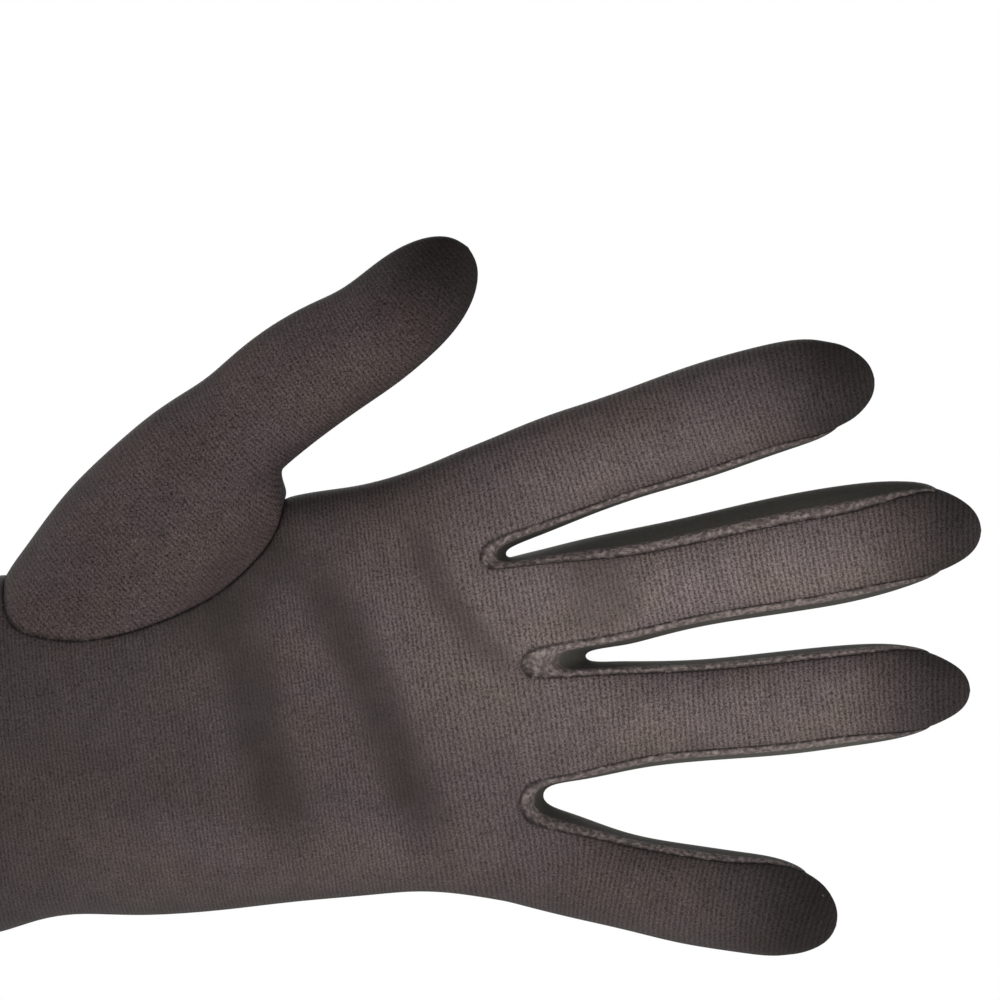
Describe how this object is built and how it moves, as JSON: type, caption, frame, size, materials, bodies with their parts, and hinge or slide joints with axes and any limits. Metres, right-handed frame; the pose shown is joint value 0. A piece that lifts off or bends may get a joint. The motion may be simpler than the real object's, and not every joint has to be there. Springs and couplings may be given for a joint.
{
  "type": "evening glove",
  "caption": "Left evening glove of fine ribbed knit in its worn shape, hollow, with a set-in thumb, sewn finger gussets, a soft palm and a plain hemmed sleeve.",
  "frame": {"origin": "the middle of the wrist, inside the glove, where the hand that wears it holds it", "axes": "+X runs from the wrist to the fingertips, -Y is the way the palm faces, +Z is the thumb's side; a left glove"},
  "size_m": [0.2865, 0.058, 0.1223],
  "materials": {
    "knit": "fine ribbed knit, matt, dark brown-grey",
    "thumb_knit": "fine ribbed knit, matt, dark brown-grey",
    "fourchette_knit": "fine plain knit, matt, near black"
  },
  "bodies": {
    "root": {"trank": "knit", "thumb_piece": "thumb_knit", "fourchette_index_middle": "fourchette_knit", "fourchette_middle_ring": "fourchette_knit", "fourchette_ring_little": "fourchette_knit"}
  },
  "joints": []
}
